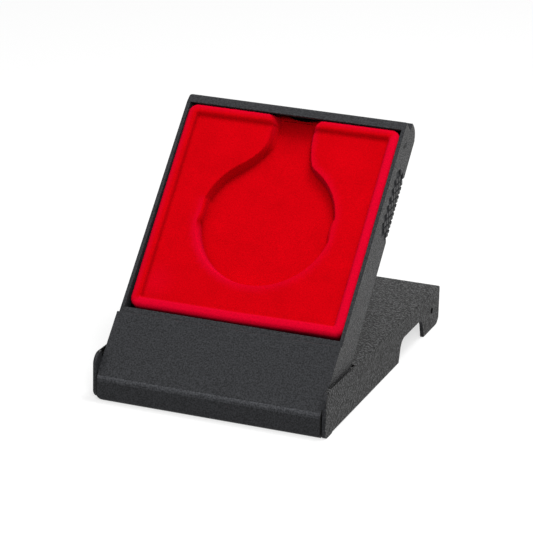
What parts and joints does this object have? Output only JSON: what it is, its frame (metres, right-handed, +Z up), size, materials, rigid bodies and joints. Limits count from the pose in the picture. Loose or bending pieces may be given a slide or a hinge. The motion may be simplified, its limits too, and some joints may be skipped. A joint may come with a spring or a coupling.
{
  "type": "coin display case",
  "caption": "Folding coin or medal case set up as an easel: hinged tray with a flocked insert leans on its upturned cover.",
  "frame": {"origin": "middle of the set-up case's footprint, on the surface that it stands on", "axes": "+Z up, +X across the case to the viewer's right, +Y from the hinge end towards the cover's free end"},
  "size_m": [0.0864, 0.1198, 0.0886],
  "materials": {
    "cover_plastic": "black moulded plastic with a leather grain",
    "tray_plastic": "black moulded plastic with a fine grain",
    "red_flock": "short red flock on a formed sheet"
  },
  "bodies": {
    "cover": {"cover_shell": "cover_plastic"},
    "tray": {"tray_shell": "tray_plastic", "flocked_insert": "red_flock"}
  },
  "joints": [
    {"name": "tray_hinge", "type": "hinge", "parent": "cover", "child": "tray", "pos_m": [0, -0.04885, 0.0091], "axis": [1, 0, 0], "range_deg": [0, 313.1]}
  ]
}
